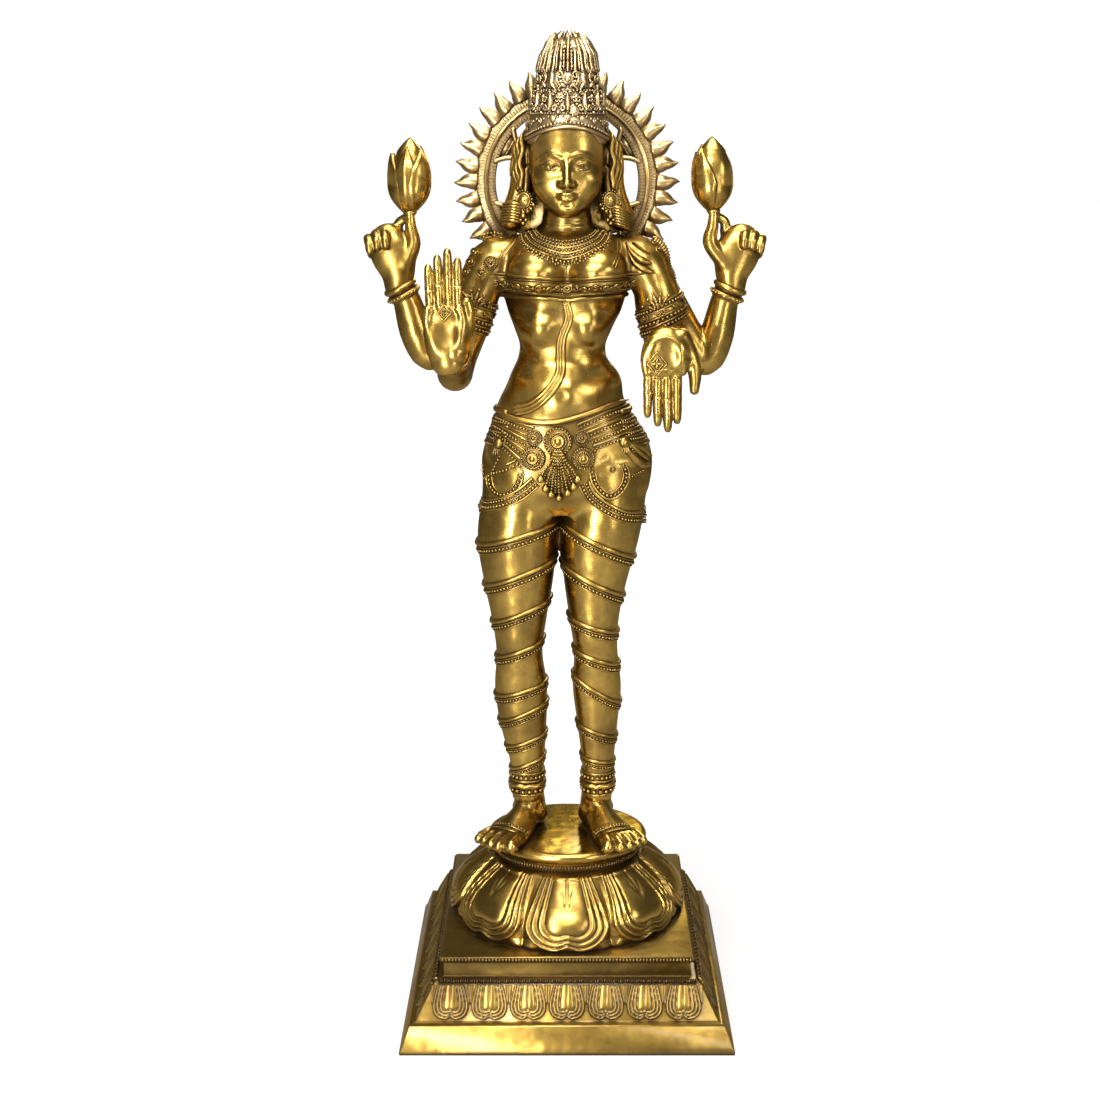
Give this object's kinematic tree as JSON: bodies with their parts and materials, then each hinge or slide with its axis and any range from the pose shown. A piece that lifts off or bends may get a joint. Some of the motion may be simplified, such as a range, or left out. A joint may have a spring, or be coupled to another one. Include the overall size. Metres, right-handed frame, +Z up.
{
  "type": "lakshmi figure",
  "caption": "Standing goddess with four arms and lotus buds, tall crown and spoked halo, on a round lotus and a stepped square plinth, cast in polished brass.",
  "frame": {"origin": "centre of the plinth's underside", "axes": "+Z up, the figure faces -Y, +X is on the viewer's right"},
  "size_m": [0.6116, 0.516, 1.524],
  "materials": {
    "figure_brass": "polished antique brass with brown patina in the recesses",
    "halo_brass": "paler worn brass with dark patina between the ribs",
    "lotus_brass": "polished antique brass with brown patina in the recesses",
    "plinth_brass": "duller brown antique brass"
  },
  "bodies": {
    "root": {"figure": "figure_brass", "halo": "halo_brass", "lotus_pedestal": "lotus_brass", "square_plinth": "plinth_brass"}
  },
  "joints": []
}
